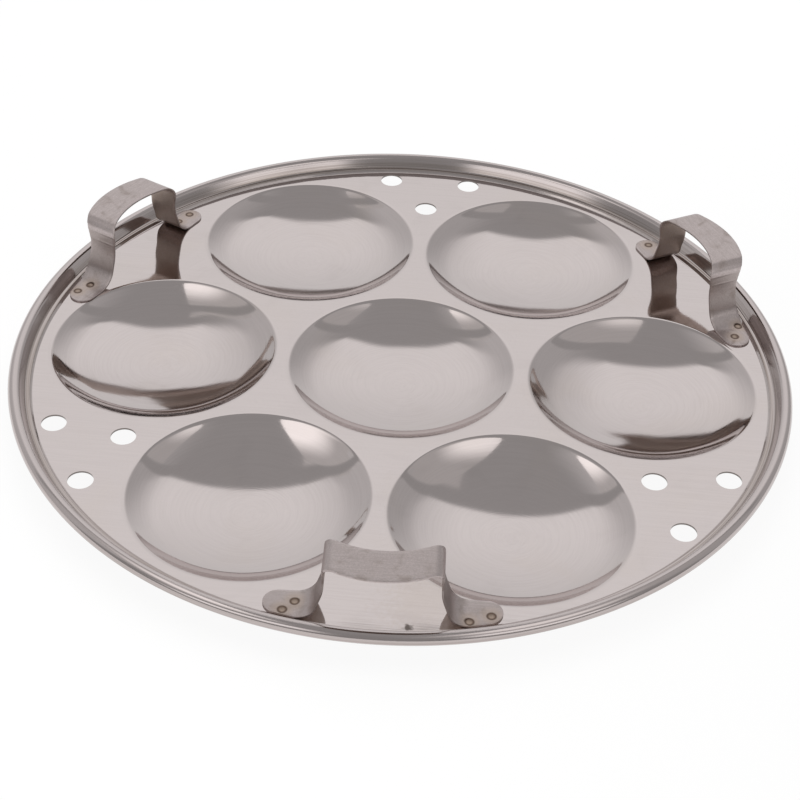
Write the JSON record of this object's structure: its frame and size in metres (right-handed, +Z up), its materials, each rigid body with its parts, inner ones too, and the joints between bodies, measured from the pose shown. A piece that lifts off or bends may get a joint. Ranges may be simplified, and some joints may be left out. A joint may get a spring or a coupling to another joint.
{
  "type": "idli steamer plate",
  "caption": "Round pressed steel steaming plate with shallow round moulds, steam holes, a rolled rim and strap handles spot-welded on.",
  "frame": {"origin": "centre of the plate's round outline, at the height of the lowest points of its moulds", "axes": "+Z up along the plate's axis; +Y towards the back, between the two handles that stand at the back; the third handle is at -Y"},
  "size_m": [0.26, 0.26, 0.0323],
  "materials": {
    "polished_steel": "polished with fine brushing",
    "strap_steel": "satin mill finish",
    "weld_steel": "dull, tinted by the heat of the weld"
  },
  "bodies": {
    "root": {"plate": "polished_steel", "handle_front": "strap_steel", "handle_left": "strap_steel", "handle_right": "strap_steel", "spot_welds": "weld_steel"}
  },
  "joints": []
}
